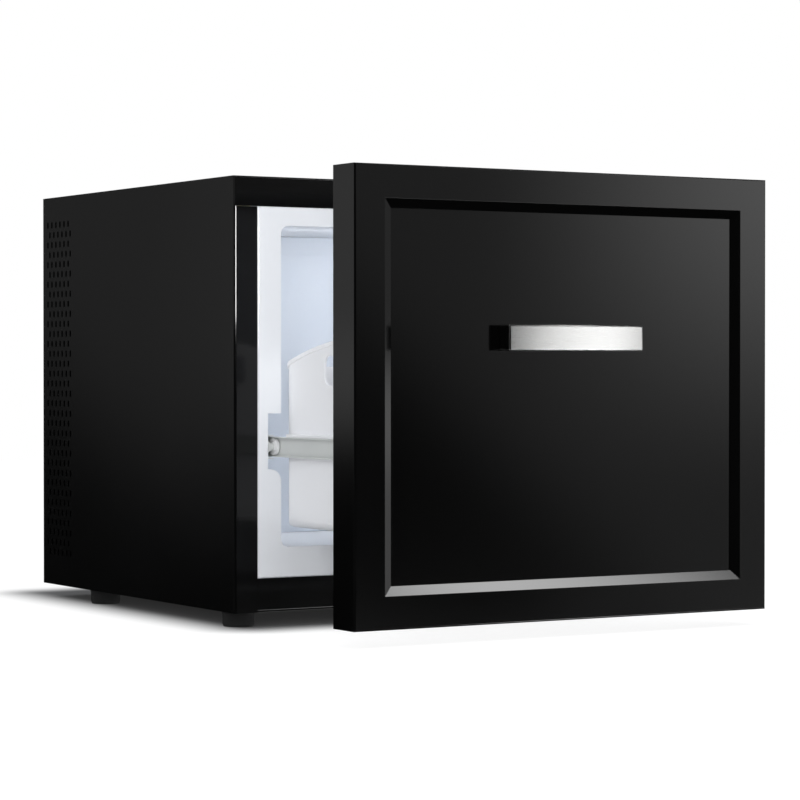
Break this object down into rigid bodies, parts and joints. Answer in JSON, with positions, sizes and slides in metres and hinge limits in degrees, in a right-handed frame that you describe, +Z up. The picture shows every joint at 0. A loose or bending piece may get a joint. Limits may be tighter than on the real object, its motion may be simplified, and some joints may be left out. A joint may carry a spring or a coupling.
{
  "type": "drawer minibar cabinet",
  "caption": "Compact insulated minibar with a black steel cabinet, a pull-out drawer front with a bar handle, a lift-out bin on roller slides and a thermoelectric cooling unit behind.",
  "frame": {"origin": "middle of the footprint of the cabinet with its drawer pulled out, on the floor under the feet", "axes": "+X to the right seen from the front, +Y from the drawer front to the back panel, +Z up"},
  "size_m": [0.48, 0.7228, 0.451],
  "materials": {
    "case_black": "black powder coat, semi-gloss",
    "zinc_steel": "bright zinc plated steel",
    "foam": "rigid polyurethane foam",
    "liner_white": "vacuum-formed polystyrene, white, satin",
    "cover_blue": "moulded polystyrene, pale ice blue",
    "foot_rubber": "black moulded rubber",
    "white_plastic": "white moulded plastic",
    "dark_plastic": "black moulded plastic",
    "aluminium": "extruded aluminium",
    "ceramic": "white alumina ceramic",
    "fibreglass": "green solder mask on fibreglass",
    "brass": "plated brass",
    "wire_sheath": "PVC wire insulation",
    "gasket": "soft black magnetic seal",
    "front_gloss": "black ABS, glossy",
    "panel_gloss": "black acrylic, high gloss",
    "handle_metal": "brushed and clear anodised, bright bevelled edge",
    "bin_plastic": "translucent white polypropylene",
    "clear_plastic": "frosted acrylic"
  },
  "bodies": {
    "cabinet": {"side_panel_left": "case_black", "side_panel_right": "case_black", "top_panel": "case_black", "base_pan": "case_black", "back_panel": "case_black", "bulkhead": "zinc_steel", "insulation_foam": "foam", "inner_liner": "liner_white", "foot_front_left": "foot_rubber", "foot_front_right": "foot_rubber", "foot_rear_left": "foot_rubber", "foot_rear_right": "foot_rubber", "case_screws": "zinc_steel", "slide_outer_left": "zinc_steel", "slide_outer_right": "zinc_steel", "slide_screws": "zinc_steel", "evaporator_cover": "cover_blue", "cover_screws": "white_plastic", "cold_fan_frame": "dark_plastic", "cold_sink": "aluminium", "spacer_block": "aluminium", "peltier_module": "ceramic", "hot_sink": "aluminium", "sink_bolts": "zinc_steel", "hot_fan_frame": "dark_plastic", "fan_screws": "zinc_steel", "thermostat": "white_plastic", "lamp_board": "fibreglass", "lamp_lens": "clear_plastic", "reed_switch": "dark_plastic", "power_board": "fibreglass", "board_components": "dark_plastic", "board_spacers": "white_plastic", "mains_inlet": "dark_plastic", "inlet_pins": "brass", "wiring_harness": "wire_sheath", "drain_tube": "white_plastic", "drip_tray": "dark_plastic"},
    "drawer": {"front_frame": "front_gloss", "front_panel": "panel_gloss", "drawer_insulation": "foam", "drawer_liner": "liner_white", "drawer_gasket": "gasket", "switch_magnet": "dark_plastic", "handle_bar": "handle_metal", "handle_posts": "dark_plastic", "handle_screws": "zinc_steel", "slide_inner_left": "zinc_steel", "slide_inner_right": "zinc_steel", "slide_brackets": "zinc_steel", "bracket_screws": "zinc_steel", "bin": "bin_plastic"},
    "cold_fan": {"cold_fan_rotor": "dark_plastic"},
    "hot_fan": {"hot_fan_rotor": "dark_plastic"},
    "dial": {"temperature_dial": "white_plastic"},
    "front_wheel_left": {"front_roller_left": "white_plastic"},
    "front_wheel_right": {"front_roller_right": "white_plastic"},
    "rear_wheel_left": {"rear_roller_left": "white_plastic"},
    "rear_wheel_right": {"rear_roller_right": "white_plastic"}
  },
  "joints": [
    {"name": "drawer_slide", "type": "slide", "parent": "cabinet", "child": "drawer", "axis": [0, -1, 0], "range_m": [-0.191, 0.008]},
    {"name": "front_wheel_left_turn", "type": "hinge", "parent": "cabinet", "child": "front_wheel_left", "pos_m": [-0.1932, -0.104, 0.1805], "axis": [1, 0, 0], "continuous": true},
    {"name": "front_wheel_right_turn", "type": "hinge", "parent": "cabinet", "child": "front_wheel_right", "pos_m": [0.1932, -0.104, 0.1805], "axis": [1, 0, 0], "continuous": true},
    {"name": "rear_wheel_left_turn", "type": "hinge", "parent": "drawer", "child": "rear_wheel_left", "pos_m": [-0.1989, -0.0635, 0.1805], "axis": [1, 0, 0], "continuous": true},
    {"name": "rear_wheel_right_turn", "type": "hinge", "parent": "drawer", "child": "rear_wheel_right", "pos_m": [0.1989, -0.0635, 0.1805], "axis": [1, 0, 0], "continuous": true},
    {"name": "cold_fan_spin", "type": "hinge", "parent": "cabinet", "child": "cold_fan", "pos_m": [0, 0.1055, 0.2], "axis": [0, 1, 0], "continuous": true},
    {"name": "hot_fan_spin", "type": "hinge", "parent": "cabinet", "child": "hot_fan", "pos_m": [0, 0.2655, 0.2], "axis": [0, 1, 0], "continuous": true},
    {"name": "temperature_dial_turn", "type": "hinge", "parent": "cabinet", "child": "dial", "pos_m": [0.13, 0.0945, 0.308], "axis": [0, 1, 0], "range_deg": [-135, 135]}
  ]
}
